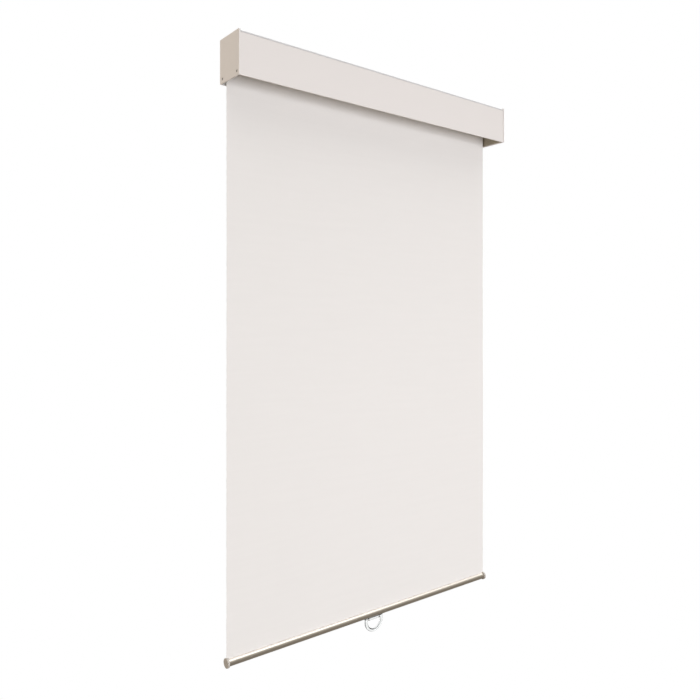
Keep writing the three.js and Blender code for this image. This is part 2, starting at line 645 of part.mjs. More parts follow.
add('roller_tube', rollerTube(), ALUMINIUM);
add('fabric_fixing_strip', fixingStrip(), MOULDED);
add('fabric_wound', fabricWound(), FABRIC);
add('spring_plug', springPlug(), MOULDED);
add('shaft_support', shaftSupport(), MOULDED);
add('idler_plug', idlerPlug(), MOULDED);
add('idler_pin', idlerPin(), STEEL);
add('idler_spring', idlerSpring(), SPRING_STEEL);
add('idler_retainer', idlerRetainer(), MOULDED);
for (const [turn, letter] of ['a', 'b'].entries()) {
  add(`pawl_pin_${letter}`, pawlPinPiece(turn), STEEL);
  add(`pawl_${letter}`, pawl(turn), STEEL);
}

// ---------------------------------------------------------------- fabric and hem
/** The flat fabric from the roller's rear tangent down into the hem bar's slot. */
function fabricPanel() {
  const y0 = FABRIC_Y - FABRIC_THICK / 2;
  return box(-FABRIC_EDGE, FABRIC_EDGE, y0, y0 + FABRIC_THICK, FABRIC_END_Z, ROLLER_Z);
}

/** Round bar with a keyway for the spline, a lower bore and holes for the ring's screws. */
function hemBar() {
  const round = alongX(disc(FABRIC_Y, BAR_Z, BAR_RADIUS), -BAR_END, BAR_END, 20);
  const through = (y, z, radius) => alongX(disc(y, z, radius), -BAR_END - 1, BAR_END + 1, 8);
  const [y0, y1] = [FABRIC_Y - BAR_SLOT / 2, FABRIC_Y + BAR_SLOT / 2];
  const slot = box(-BAR_END - 1, BAR_END + 1, y0, y1, SPLINE_Z, BAR_Z + BAR_RADIUS + 1);
  const cuts = [
    through(FABRIC_Y, SPLINE_Z, SPLINE_RADIUS + GAP),
    through(FABRIC_Y, BAR_BORE_Z, BAR_BORE_RADIUS),
    slot,
  ];
  for (const x of RING_SCREWS_X) {
    const hole = new THREE.CylinderGeometry(RING_SCREW_RADIUS + GAP, RING_SCREW_RADIUS + GAP, BAR_RADIUS, 12);
    cuts.push(hole.rotateX(Math.PI / 2).translate(x, FABRIC_Y, BAR_BORE_Z - BAR_RADIUS / 2));
  }
  return carve([round], cuts);
}

/** Disc with a spigot in the bar's lower bore, notched where the fabric passes. */
function hemCap(side) {
  const flange = atEnd(disc(FABRIC_Y, BAR_Z, CAP_RADIUS), side, CAP_IN, CAP_OUT, 16);
  const spigot = drill(side, CAP_IN - CAP_SPIGOT, CAP_IN + 0.5, FABRIC_Y, BAR_BORE_Z, BAR_BORE_RADIUS - GAP);
  const [x0, x1] = side < 0 ? [-FABRIC_EDGE - GAP, -CAP_IN + 1] : [CAP_IN - 1, FABRIC_EDGE + GAP];
  const [y0, y1] = [FABRIC_Y - BAR_SLOT / 2, FABRIC_Y + BAR_SLOT / 2];
  return carve([flange, spigot], [box(x0, x1, y0, y1, FABRIC_END_Z - GAP, BAR_Z + CAP_RADIUS + 1)]);
}

/** An outline in X and Z pushed along Y, centred on the fabric's plane. */
function acrossY(shape, thick) {
  const geometry = new THREE.ExtrudeGeometry(shape, { depth: thick, bevelEnabled: false, curveSegments: 16 });
  return geometry.rotateX(Math.PI / 2).translate(0, FABRIC_Y + thick / 2, 0);
}

/** A D lying on its back: a straight top and a half-round bottom. */
function dShape(radius, bottom, top) {
  const centre = bottom + radius;
  const shape = new THREE.Shape();
  shape.moveTo(radius, top);
  shape.lineTo(-radius, top);
  shape.absarc(0, centre, radius, Math.PI, 2 * Math.PI, false);
  shape.closePath();
  return shape;
}

/** D-shaped ring with a saddle that fits the underside of the bar. */
function pullRing() {
  const foot = RING_TOP - RING_DROP;
  const loop = acrossY(dShape(RING_WIDTH / 2, foot, RING_TOP), RING_THICK);
  const saddleHalf = RING_WIDTH / 2 - 3;
  const saddleY = RING_SADDLE_DEPTH / 2;
  const saddle = box(
    -saddleHalf, saddleHalf, FABRIC_Y - saddleY, FABRIC_Y + saddleY, RING_TOP - RING_TOP_BAND + 0.4, RING_TOP,
  );
  const fingerHole = dShape(RING_WIDTH / 2 - RING_BAND, foot + RING_BOTTOM_BAND, RING_TOP - RING_TOP_BAND);
  const hole = acrossY(fingerHole, 2 * RING_THICK);
  const barRoom = alongX(disc(FABRIC_Y, BAR_Z, BAR_RADIUS + GAP), -RING_WIDTH, RING_WIDTH, 20);
  const cuts = [hole, barRoom];
  for (const x of RING_SCREWS_X) {
    for (const [radius, top] of [[RING_SCREW_RADIUS, RING_TOP + 2], [RING_SCREW_HEAD, RING_HEAD_Z + GAP]]) {
      const bottom = RING_TOP - RING_TOP_BAND - 2;
      const bore = new THREE.CylinderGeometry(radius + GAP, radius + GAP, top - bottom, 12);
      cuts.push(bore.rotateX(Math.PI / 2).translate(x, FABRIC_Y, (top + bottom) / 2));
    }
  }
  return carve([loop, saddle], cuts);
}

/** Screw along Z: its head is in the ring's saddle and its tip in the bar's lower bore. */
function ringScrew(x) {
  const profile = [
    [0, RING_HEAD_Z - RING_SCREW_HEAD_THICK], [RING_SCREW_HEAD, RING_HEAD_Z - RING_SCREW_HEAD_THICK],
    [RING_SCREW_HEAD, RING_HEAD_Z], [RING_SCREW_RADIUS, RING_HEAD_Z],
    [RING_SCREW_RADIUS, RING_HEAD_Z + RING_SCREW_LENGTH], [0, RING_HEAD_Z + RING_SCREW_LENGTH],
  ];
  const geometry = new THREE.LatheGeometry(profile.map(([r, z]) => new THREE.Vector2(r, z)), 12);
  return geometry.rotateX(Math.PI / 2).translate(x, FABRIC_Y, 0);
}

add('fabric_panel', fabricPanel(), FABRIC);
add('hem_bar', hemBar(), BAR_COAT);
add('hem_spline', alongX(disc(FABRIC_Y, SPLINE_Z, SPLINE_RADIUS), -BAR_END, BAR_END, 8), MOULDED);
for (const [end, side] of SIDES) {
  add(`hem_cap_${end}`, hemCap(side), BAR_COAT);
}
add('pull_ring', pullRing(), CLEAR);
for (const [i, end] of ['left', 'right'].entries()) {
  add(`ring_screw_${end}`, ringScrew(RING_SCREWS_X[i]), DARK_SCREW);
}

export default blind;
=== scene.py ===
"""A spring roller blind: box cassette with its roller, flat fabric, round hem bar and clear pull ring."""

import math

import bpy
import numpy as np
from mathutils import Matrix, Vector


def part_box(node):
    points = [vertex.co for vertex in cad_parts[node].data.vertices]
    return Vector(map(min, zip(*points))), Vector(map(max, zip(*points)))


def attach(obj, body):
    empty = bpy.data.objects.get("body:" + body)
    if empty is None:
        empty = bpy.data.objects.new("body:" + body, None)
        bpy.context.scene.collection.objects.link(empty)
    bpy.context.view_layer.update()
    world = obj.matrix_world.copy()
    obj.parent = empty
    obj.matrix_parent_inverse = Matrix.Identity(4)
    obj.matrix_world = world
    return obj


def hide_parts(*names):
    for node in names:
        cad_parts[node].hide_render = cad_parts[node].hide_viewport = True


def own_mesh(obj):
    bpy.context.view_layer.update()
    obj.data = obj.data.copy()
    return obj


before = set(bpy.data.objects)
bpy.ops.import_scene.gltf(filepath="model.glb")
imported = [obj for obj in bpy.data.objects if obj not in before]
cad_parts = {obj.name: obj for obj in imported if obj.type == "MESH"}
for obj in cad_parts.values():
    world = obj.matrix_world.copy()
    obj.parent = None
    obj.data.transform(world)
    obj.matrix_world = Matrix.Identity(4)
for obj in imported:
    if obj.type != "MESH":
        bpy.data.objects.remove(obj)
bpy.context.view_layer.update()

# ---- Viewpoint, floor and light ----
# A viewer stands left of the blind, level with the upper half of its fabric.
# The room is a white studio: a bright ceiling, soft boxes in front, at the left and behind, dark cards at the
# blind's sides for clear plastic to show, and a floor that sends back a little warm light.
camera_data = bpy.data.cameras.new("viewer")
camera = bpy.data.objects.new("viewer", camera_data)
bpy.context.scene.collection.objects.link(camera)
camera.location = (-1.1094, -1.3016, -0.5508)
camera.rotation_euler = (math.radians(90), 0, math.radians(-38.72))
camera_data.sensor_width = 36
camera_data.lens = 35.47
camera_data.shift_y = -0.0361
camera_data.clip_start = 0.01
bpy.context.scene.camera = camera
bpy.context.scene.view_settings.view_transform = "Standard"


def node_tree_of(material):
    """A material's nodes and a function that links two of its sockets."""
    material.use_nodes = True
    return material.node_tree.nodes, material.node_tree.links.new


FLOOR_Z = -1.95
FLOOR_HALF = 9.0


def floor_surface(points_per_side=3):
    """Flat square: x and y run from minus to plus its half size, and z is the floor's height."""
    edge = np.linspace(-FLOOR_HALF, FLOOR_HALF, points_per_side)
    x, y = np.meshgrid(edge, edge)
    points = np.stack([x, y, np.full_like(x, FLOOR_Z)], -1).reshape(-1, 3)
    step = np.arange(points_per_side - 1)
    corner = (step[:, None] * points_per_side + step).ravel()
    above = corner + points_per_side
    faces = np.stack([corner, corner + 1, above + 1, above], -1)
    return points, faces


floor_mesh = bpy.data.meshes.new("studio_floor")
floor_points, floor_faces = floor_surface()
floor_mesh.from_pydata(floor_points.tolist(), [], floor_faces.tolist())
floor = bpy.data.objects.new("studio_floor", floor_mesh)
bpy.context.scene.collection.objects.link(floor)

CARD_TONE = 0.06


def white_or_card(nodes, link, across, near, far):
    """White to a camera's ray. To a ray that has come through clear plastic it is white in front of the blind
    and behind it, and as dark as the cards at the blind's sides where the distance across is under near."""
    side = nodes.new("ShaderNodeMath")
    side.operation = "ABSOLUTE"
    link(across, side.inputs[0])
    card = nodes.new("ShaderNodeMapRange")
    card.inputs["From Min"].default_value = near
    card.inputs["From Max"].default_value = far
    card.inputs["To Min"].default_value = CARD_TONE
    link(side.outputs[0], card.inputs["Value"])
    rays = nodes.new("ShaderNodeLightPath")
    tone = nodes.new("ShaderNodeMix")
    link(rays.outputs["Is Camera Ray"], tone.inputs["Factor"])
    link(card.outputs[0], tone.inputs["A"])
    tone.inputs["B"].default_value = 1.0
    seen = nodes.new("ShaderNodeMath")
    seen.operation = "MAXIMUM"
    link(rays.outputs["Is Camera Ray"], seen.inputs[0])
    link(rays.outputs["Is Transmission Ray"], seen.inputs[1])
    return tone.outputs["Result"], seen.outputs[0]


def floor_finish():
    """Pale floor: white to the camera, and a dim warm diffuse surface to the light. A glossy ray reads an
    even glow of that warmth. The floor is clear from below, so that it doesn't block a view from there."""
    material = bpy.data.materials.new("pale_floor")
    nodes, link = node_tree_of(material)
    nodes.clear()
    place = nodes.new("ShaderNodeTexCoord")
    split = nodes.new("ShaderNodeSeparateXYZ")
    link(place.outputs["Object"], split.inputs[0])
    tone, seen = white_or_card(nodes, link, split.outputs["Y"], near=0.70, far=0.95)
    returned = nodes.new("ShaderNodeBsdfDiffuse")
    returned.inputs["Color"].default_value = (0.23, 0.205, 0.175, 1)
    mirrored = nodes.new("ShaderNodeEmission")
    mirrored.inputs["Color"].default_value = (0.19, 0.167, 0.138, 1)
    rays = nodes.new("ShaderNodeLightPath")
    unseen = nodes.new("ShaderNodeMixShader")
    link(rays.outputs["Is Glossy Ray"], unseen.inputs[0])
    link(returned.outputs[0], unseen.inputs[1])
    link(mirrored.outputs[0], unseen.inputs[2])
    white = nodes.new("ShaderNodeEmission")
    link(tone, white.inputs["Strength"])
    lit_floor = nodes.new("ShaderNodeMixShader")
    link(seen, lit_floor.inputs[0])
    link(unseen.outputs[0], lit_floor.inputs[1])
    link(white.outputs[0], lit_floor.inputs[2])
    under = nodes.new("ShaderNodeNewGeometry")
    clear_below = nodes.new("ShaderNodeBsdfTransparent")
    one_sided = nodes.new("ShaderNodeMixShader")
    link(under.outputs["Backfacing"], one_sided.inputs[0])
    link(lit_floor.outputs[0], one_sided.inputs[1])
    link(clear_below.outputs[0], one_sided.inputs[2])
    output = nodes.new("ShaderNodeOutputMaterial")
    link(one_sided.outputs[0], output.inputs["Surface"])
    return material


floor_mesh.materials.append(floor_finish())

WALL_RISE = 0.62
LIT_ROOM = (
    (0.45, (0.24, 0.22, 0.19)), (0.75, (0.29, 0.27, 0.25)), (0.88, (1.0, 0.99, 0.97)))
MIRRORED_ROOM = (
    (0.45, (0.26, 0.235, 0.195)), (0.70, (0.34, 0.315, 0.275)), (0.80, (0.62, 0.60, 0.56)),
    (0.88, (1.9, 1.88, 1.82)), (0.94, (1.9, 1.88, 1.82)), (1.0, (1.0, 0.99, 0.97)))


def room_tones(nodes, link, height, stops):
    """The room's colour from its lowest point, 0, to its ceiling, 1, as a ramp through the stops."""
    ramp = nodes.new("ShaderNodeValToRGB")
    stretch = ramp.color_ramp.elements
    stretch[0].position, stretch[0].color = stops[0][0], (*stops[0][1], 1)
    stretch[1].position, stretch[1].color = stops[-1][0], (*stops[-1][1], 1)
    for position, colour in stops[1:-1]:
        stretch.new(position).color = (*colour, 1)
    link(height, ramp.inputs[0])
    return ramp.outputs[0]


def studio_world():
    """White to the camera. To the light it is the lit room's ramp over the height, and to a glossy ray the
    mirrored room's, read higher up behind the blind, so that metal seen from there mirrors a bright wall."""
    world = bpy.data.worlds.new("white_studio")
    world.use_nodes = True
    nodes, link = world.node_tree.nodes, world.node_tree.links.new
    nodes.clear()
    direction = nodes.new("ShaderNodeTexCoord")
    split = nodes.new("ShaderNodeSeparateXYZ")
    link(direction.outputs["Generated"], split.inputs[0])
    height = nodes.new("ShaderNodeMapRange")
    height.inputs["From Min"].default_value = -1
    link(split.outputs["Z"], height.inputs["Value"])
    wall_side = nodes.new("ShaderNodeMath")
    wall_side.operation = "MULTIPLY"
    wall_side.use_clamp = True
    wall_side.inputs[1].default_value = WALL_RISE
    link(split.outputs["Y"], wall_side.inputs[0])
    raised = nodes.new("ShaderNodeMath")
    link(height.outputs[0], raised.inputs[0])
    link(wall_side.outputs[0], raised.inputs[1])
    rays = nodes.new("ShaderNodeLightPath")
    room_colour = nodes.new("ShaderNodeMixRGB")
    link(rays.outputs["Is Glossy Ray"], room_colour.inputs["Fac"])
    link(room_tones(nodes, link, height.outputs[0], LIT_ROOM), room_colour.inputs["Color1"])
    link(room_tones(nodes, link, raised.outputs[0], MIRRORED_ROOM), room_colour.inputs["Color2"])
    room = nodes.new("ShaderNodeBackground")
    link(room_colour.outputs[0], room.inputs["Color"])
    backdrop = nodes.new("ShaderNodeBackground")
    backdrop.inputs["Color"].default_value = (1, 1, 1, 1)
    tone, seen = white_or_card(nodes, link, split.outputs["Y"], near=0.45, far=0.64)
    link(tone, backdrop.inputs["Strength"])
    either = nodes.new("ShaderNodeMixShader")
    link(seen, either.inputs[0])
    link(room.outputs[0], either.inputs[1])
    link(backdrop.outputs[0], either.inputs[2])
    output = nodes.new("ShaderNodeOutputWorld")
    link(either.outputs[0], output.inputs["Surface"])
    return world


bpy.context.scene.world = studio_world()


def soft_box(name, place, aim, width, height, power, colour):
    """A rectangular light that faces a point."""
    lamp = bpy.data.lights.new(name, "AREA")
    lamp.shape = "RECTANGLE"
    lamp.size = width
    lamp.size_y = height
    lamp.energy = power
    lamp.color = colour
    light = bpy.data.objects.new(name, lamp)
    bpy.context.scene.collection.objects.link(light)
    light.location = place
    away = np.array(place) - np.array(aim)
    turn = math.atan2(away[0], -away[1])
    tilt = math.atan2(math.hypot(away[0], away[1]), away[2])
    light.rotation_euler = (tilt, 0, turn)
    light.visible_camera = False
    return light


front_light = soft_box("front_soft_box", place=(0.5, -4.1, -0.9), aim=(0.5, 0, -0.9),
                       width=5.0, height=2.1, power=169, colour=(0.885, 0.917, 0.985))
front_light.visible_glossy = False
side_light = soft_box("side_soft_box", place=(-4.0, 0.9, -0.2), aim=(-0.4, 0.9, -0.2),
                      width=3.0, height=2.6, power=54, colour=(1.0, 0.90, 0.78))
side_light.visible_glossy = False
back_light = soft_box("back_soft_box", place=(1.3, 3.6, -0.6), aim=(0.2, 0, -0.6),
                      width=3.0, height=1.9, power=62, colour=(1.0, 0.97, 0.94))
back_light.visible_glossy = False
back_light.visible_transmission = False

# ---- Wall brackets ----
# Three bent strips of zinc-plated steel, screwed to the wall.
# The cassette's back rail hooks over their front ends and clicks in behind their lower ends.
MM = 0.001
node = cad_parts


def shader_group(name, inputs, outputs):
    """A node group for one effect: its sockets by name, its nodes, and a function that links two sockets."""
    group = bpy.data.node_groups.new(name, "ShaderNodeTree")
    for label, kind, value in inputs:
        socket = group.interface.new_socket(label, in_out="INPUT", socket_type=kind)
        if value is not None:
            socket.default_value = value
    for label, kind in outputs:
        group.interface.new_socket(label, in_out="OUTPUT", socket_type=kind)
    start = group.nodes.new("NodeGroupInput")
    end = group.nodes.new("NodeGroupOutput")
    return group, start.outputs, end.inputs, group.nodes, group.links.new


def maths(nodes, link, operation, first, second, clamp=False):
    """One Math node: each operand is a socket or a number."""
    step = nodes.new("ShaderNodeMath")
    step.operation = operation
    step.use_clamp = clamp
    for socket, operand in zip(step.inputs, (first, second)):
        if isinstance(operand, (int, float)):
            socket.default_value = operand
        else:
            link(operand, socket)
    return step.outputs[0]


def stretched_noise(nodes, link, vector, scale, detail=2.0, roughness=0.5):
    """Noise whose grains are 1 / scale metres long on each axis, from a vector in metres."""
    mapping = nodes.new("ShaderNodeMapping")
    mapping.inputs["Scale"].default_value = scale
    link(vector, mapping.inputs["Vector"])
    noise = nodes.new("ShaderNodeTexNoise")
    noise.inputs["Scale"].default_value = 1
    noise.inputs["Detail"].default_value = detail
    noise.inputs["Roughness"].default_value = roughness
    link(mapping.outputs[0], noise.inputs["Vector"])
    return noise.outputs["Fac"]


def tone_shift(nodes, link, colour, amount, noise):
    """The colour made lighter or darker by up to the amount, where the noise is above or below a half."""
    centred = maths(nodes, link, "SUBTRACT", noise, 0.5)
    swing = maths(nodes, link, "MULTIPLY", centred, amount)
    factor = maths(nodes, link, "ADD", swing, 1.0)
    scaled = nodes.new("ShaderNodeVectorMath")
    scaled.operation = "SCALE"
    link(colour, scaled.inputs[0])
    link(factor, scaled.inputs["Scale"])
    return scaled.outputs[0]


def make_cloud_group():
    """Slow drift of tone over a surface, and a fine grain: a colour, a roughness and the grain's height."""
    group, given, result, nodes, link = shader_group(
        "tone_and_grain",
        [("Vector", "NodeSocketVector", None), ("Colour", "NodeSocketColor", (0.8, 0.8, 0.8, 1)),
         ("Drift", "NodeSocketFloat", 0.04), ("Roughness", "NodeSocketFloat", 0.4),
         ("Roughness Drift", "NodeSocketFloat", 0.1), ("Grain", "NodeSocketFloat", 900.0)],
        [("Colour", "NodeSocketColor"), ("Roughness", "NodeSocketFloat"), ("Height", "NodeSocketFloat")],
    )
    slow = stretched_noise(nodes, link, given["Vector"], scale=(9, 9, 9), detail=3)
    grain = nodes.new("ShaderNodeTexNoise")
    grain.inputs["Detail"].default_value = 1.5
    link(given["Vector"], grain.inputs["Vector"])
    link(given["Grain"], grain.inputs["Scale"])
    link(tone_shift(nodes, link, given["Colour"], given["Drift"], slow), result["Colour"])
    centred = maths(nodes, link, "SUBTRACT", grain.outputs["Fac"], 0.5)
    swing = maths(nodes, link, "MULTIPLY", centred, given["Roughness Drift"])
    link(maths(nodes, link, "ADD", swing, given["Roughness"], clamp=True), result["Roughness"])
    link(grain.outputs["Fac"], result["Height"])
    return group


tone_and_grain = make_cloud_group()


def make_crystal_group():
    """Zinc crystals a few millimetres wide, each a little lighter or darker."""
    group, given, result, nodes, link = shader_group(
        "zinc_crystals",
        [("Vector", "NodeSocketVector", None), ("Colour", "NodeSocketColor", (0.6, 0.6, 0.6, 1)),
         ("Contrast", "NodeSocketFloat", 0.12), ("Crystals", "NodeSocketFloat", 350.0)],
        [("Colour", "NodeSocketColor")],
    )
    cells = nodes.new("ShaderNodeTexVoronoi")
    link(given["Vector"], cells.inputs["Vector"])
    link(given["Crystals"], cells.inputs["Scale"])
    parts = nodes.new("ShaderNodeSeparateColor")
    link(cells.outputs["Color"], parts.inputs[0])
    link(tone_shift(nodes, link, given["Colour"], given["Contrast"], parts.outputs[0]), result["Colour"])
    return group


zinc_crystals = make_crystal_group()
CRYSTAL_CONTRAST = 0.22


def placed(nodes, group, **values):
    """A group put into a material with its own values, each under its socket's name."""
    effect = nodes.new("ShaderNodeGroup")
    effect.node_tree = group
    for label, value in values.items():
        effect.inputs[label.replace("_", " ")].default_value = value
    return effect


def bumped(nodes, link, shader, height, depth, strength=1.0):
    """A Bump node, its depth in metres, that feeds the shader's normal."""
    bump = nodes.new("ShaderNodeBump")
    bump.inputs["Strength"].default_value = strength
    bump.inputs["Distance"].default_value = depth
    link(height, bump.inputs["Height"])
    link(bump.outputs[0], shader.inputs["Normal"])


def grained_finish(name, colour, roughness, drift, grain, depth, metallic=0.0, spread=0.1, crystals=None):
    """A coated, moulded or plated finish from the tone and grain group, with crystals on it where it is zinc.
    The grain's depth is in metres, and spread is how far it swings the roughness."""
    material = bpy.data.materials.new(name)
    nodes, link = node_tree_of(material)
    shader = nodes["Principled BSDF"]
    shader.inputs["Metallic"].default_value = metallic
    place = nodes.new("ShaderNodeTexCoord").outputs["Object"]
    effect = placed(nodes, tone_and_grain, Colour=(*colour, 1), Drift=drift, Roughness=roughness,
                    Roughness_Drift=spread, Grain=grain)
    link(place, effect.inputs["Vector"])
    tint = effect.outputs["Colour"]
    if crystals:
        spangle = placed(nodes, zinc_crystals, Crystals=crystals, Contrast=CRYSTAL_CONTRAST)
        link(place, spangle.inputs["Vector"])
        link(tint, spangle.inputs["Colour"])
        tint = spangle.outputs["Colour"]
    link(tint, shader.inputs["Base Color"])
    link(effect.outputs["Roughness"], shader.inputs["Roughness"])
    bumped(nodes, link, shader, effect.outputs["Height"], depth)
    return material, shader


SHARP_ANGLE = math.radians(32)


def make_edge_finish():
    """Geometry nodes that drop the stored normals and shade a mesh smooth, except at edges over the sharp
    angle."""
    tree = bpy.data.node_groups.new("soft_shading", "GeometryNodeTree")
    tree.interface.new_socket("Geometry", in_out="INPUT", socket_type="NodeSocketGeometry")
    tree.interface.new_socket("Geometry", in_out="OUTPUT", socket_type="NodeSocketGeometry")
    nodes, link = tree.nodes, tree.links.new
    start = nodes.new("NodeGroupInput")
    end = nodes.new("NodeGroupOutput")
    plain = nodes.new("GeometryNodeRemoveAttribute")
    plain.inputs["Name"].default_value = "custom_normal"
    faces = nodes.new("GeometryNodeSetShadeSmooth")
    faces.domain = "FACE"
    edges = nodes.new("GeometryNodeSetShadeSmooth")
    edges.domain = "EDGE"
    angle = nodes.new("GeometryNodeInputMeshEdgeAngle")
    gentle = nodes.new("ShaderNodeMath")
    gentle.operation = "LESS_THAN"
    gentle.inputs[1].default_value = SHARP_ANGLE
    link(angle.outputs["Unsigned Angle"], gentle.inputs[0])
    link(start.outputs[0], plain.inputs[0])
    link(plain.outputs[0], faces.inputs["Geometry"])
    link(faces.outputs[0], edges.inputs["Geometry"])
    link(gentle.outputs[0], edges.inputs["Shade Smooth"])
    link(edges.outputs[0], end.inputs[0])
    return tree


soft_shading = make_edge_finish()
WELD_DISTANCE = 0.002 * MM
FLAT_ANGLE = math.radians(0.5)
ROUNDED_ANGLE = math.radians(40)


def dress(name, material, round_mm=0.0):
    """Gives a CAD piece its material, welds its loose triangles, merges those that lie flat together,
    rounds its edges and shades it smooth. Its own mesh stays as it is: all of this is in modifiers."""
    piece = node[name]
    for slot in piece.material_slots:
        slot.material = material
    weld = piece.modifiers.new("weld", "WELD")
    weld.merge_threshold = WELD_DISTANCE
    flat = piece.modifiers.new("flat_faces", "DECIMATE")
    flat.decimate_type = "DISSOLVE"
    flat.angle_limit = FLAT_ANGLE
    if round_mm:
        edge = piece.modifiers.new("round_edges", "BEVEL")
        edge.width = round_mm * MM
        edge.segments = 3
        edge.limit_method = "ANGLE"
        edge.angle_limit = ROUNDED_ANGLE
        edge.miter_outer = "MITER_ARC"
    shading = piece.modifiers.new("shading", "NODES")
    shading.node_group = soft_shading
    even = piece.modifiers.new("even_normals", "WEIGHTED_NORMAL")
    even.keep_sharp = True


zinc_plate, _ = grained_finish(
    "zinc_plate", (0.62, 0.63, 0.64), roughness=0.34, drift=0.08, grain=1400, depth=0.02 * MM,
    metallic=1.0, spread=0.16, crystals=420)
for place in ("left", "centre", "right"):
    dress(f"wall_bracket_{place}", zinc_plate, 0.25)

# ---- Back rail and fascia ----
# Two extruded aluminium profiles with the same off-white powder coat; the rail's copy of it is greyer, as
# painted shade that darkens its front lip.
# The rail is the rear and top wall. The fascia hooks behind its front lip and closes the front,
# with a thin shadow line between them.


def profile_coat(name, colour):
    """Satin powder coat: a fine even grain, and a little less gloss than bare plastic has."""
    material, shader = grained_finish(
        name, colour, roughness=0.46, drift=0.02, grain=1500, depth=0.03 * MM, spread=0.12)
    shader.inputs["Specular IOR Level"].default_value = 0.35
    return material


powder_coat = profile_coat("powder_coat", (0.775, 0.725, 0.685))
# Painted shade: the rail's coat is a greyer copy of the fascia's, so its front lip reads as a thin grey line
# in shade.
shaded_rail_coat = profile_coat("rail_coat_painted_shade", (0.67, 0.66, 0.645))
dress("back_rail", shaded_rail_coat, 0.15)
dress("fascia", powder_coat, 0.7)

# ---- End brackets, hubs and bracket screws ----
# Stamped plates of passivated steel inside the profile's ends, each held by two screws in the rail's ports.
# A moulded hub is pressed into each: the left holds the motor's blade, the right is the idler pin's bearing.
moulded_white, _ = grained_finish(
    "moulded_white", (0.70, 0.67, 0.62), roughness=0.38, drift=0.03, grain=2600, depth=0.01 * MM, spread=0.08)
bracket_steel, _ = grained_finish(
    "passivated_bracket_steel", (0.42, 0.37, 0.28), roughness=0.42, drift=0.08, grain=1500, depth=0.02 * MM,
    metallic=0.35, spread=0.14, crystals=380)
for end in ("left", "right"):
    dress(f"end_bracket_{end}", bracket_steel, 0.2)
dress("spear_hub", moulded_white, 0.25)
dress("idler_hub", moulded_white, 0.25)
for end in ("left", "right"):
    for place in ("front", "rear"):
        dress(f"bracket_screw_{place}_{end}", zinc_plate, 0.2)

# ---- Spring motor's fixed half ----
# The steel shaft stands still in the left hub and carries the ratchet wheel.
# The torsion spring of oiled wire runs along it, from the plug's boss to the moulded anchor at its inner end.
dress("spear_shaft", zinc_plate, 0.2)
dress("ratchet_wheel", zinc_plate, 0.15)
dress("shaft_anchor", moulded_white, 0.2)


def smooth_mesh(name, points, faces, material, uv=None):
    """A new piece from its points and faces, with the same shading as the CAD pieces."""
    mesh = bpy.data.meshes.new(name)
    mesh.from_pydata(points.tolist(), [], [list(face) for face in faces])
    mesh.validate()
    if uv is not None:
        layer = mesh.uv_layers.new(name="cloth")
        corner = np.empty(len(mesh.loops), np.int32)
        mesh.loops.foreach_get("vertex_index", corner)
        layer.data.foreach_set("uv", uv[corner].astype(np.float32).ravel())
    mesh.materials.append(material)
    piece = bpy.data.objects.new(name, mesh)
    bpy.context.scene.collection.objects.link(piece)
    shading = piece.modifiers.new("shading", "NODES")
    shading.node_group = soft_shading
    return piece


def grid_faces(rows, columns, close_rows=False, close_columns=False):
    """The quads of a grid of points, row by row. Where it closes, its last row or column joins its first."""
    row = np.arange(rows if close_rows else rows - 1)
    column = np.arange(columns if close_columns else columns - 1)
    row, column = np.meshgrid(row, column, indexing="ij")
    row, column = row.ravel(), column.ravel()
    next_row, next_column = (row + 1) % rows, (column + 1) % columns
    return np.stack([row * columns + column, next_row * columns + column,
                     next_row * columns + next_column, row * columns + next_column], -1)


def coil_surface(x_start, x_end, radius, wire, turns, axis_y, axis_z, steps=32, sides=8):
    """Round wire on a helix: its centre goes round the roller's axis as x advances evenly,
    and the wire's circle lies across the helix's direction. The ends are closed by flat faces."""
    angle = np.linspace(0, 2 * math.pi * turns, turns * steps + 1)
    x = np.linspace(x_start, x_end, len(angle))
    centre = np.stack([x, axis_y + radius * np.cos(angle), axis_z + radius * np.sin(angle)], -1)
    outward = np.stack([np.zeros_like(angle), np.cos(angle), np.sin(angle)], -1)
    pitch = (x_end - x_start) / (2 * math.pi * turns)
    along = np.stack([np.full_like(angle, pitch), -radius * np.sin(angle), radius * np.cos(angle)], -1)
    along /= np.linalg.norm(along, axis=1, keepdims=True)
    across = np.cross(along, outward)
    turn = np.linspace(0, 2 * math.pi, sides, endpoint=False)
    circle = np.cos(turn)[None, :, None] * outward[:, None] + np.sin(turn)[None, :, None] * across[:, None]
    points = (centre[:, None] + wire * circle).reshape(-1, 3)
    rows = len(angle)
    faces = grid_faces(rows, sides, close_columns=True)[:, ::-1].tolist()
    faces.append(list(range(sides))[::-1])
    faces.append([(rows - 1) * sides + side for side in range(sides)])
    return points, faces


roller_low, roller_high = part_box("roller_tube")
AXIS_Y = (roller_low.y + roller_high.y) / 2
AXIS_Z = 0.0
oiled_wire, _ = grained_finish(
    "oiled_spring_wire", (0.30, 0.29, 0.28), roughness=0.3, drift=0.1, grain=1800, depth=0.01 * MM,
    metallic=1.0, spread=0.1)
spring_low, spring_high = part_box("torsion_spring")
WIRE_RADIUS = 0.8 * MM
SPRING_RADIUS = (spring_high.z - spring_low.z) / 2 - WIRE_RADIUS
SPRING_TURNS = 20
motor_points, motor_faces = coil_surface(
    spring_high.x - WIRE_RADIUS, spring_low.x + WIRE_RADIUS, SPRING_RADIUS,
    WIRE_RADIUS, SPRING_TURNS, AXIS_Y, AXIS_Z)
motor_spring = smooth_mesh("motor_spring", motor_points, motor_faces, oiled_wire)
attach(motor_spring, "cassette")
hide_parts("torsion_spring")

# ---- Roller ----
# A drawn aluminium tube, bare, with a moulded strip that clamps the fabric in its groove.
# The left plug holds the spring and two small pawls, and the right one a sprung steel pin with its retainer.


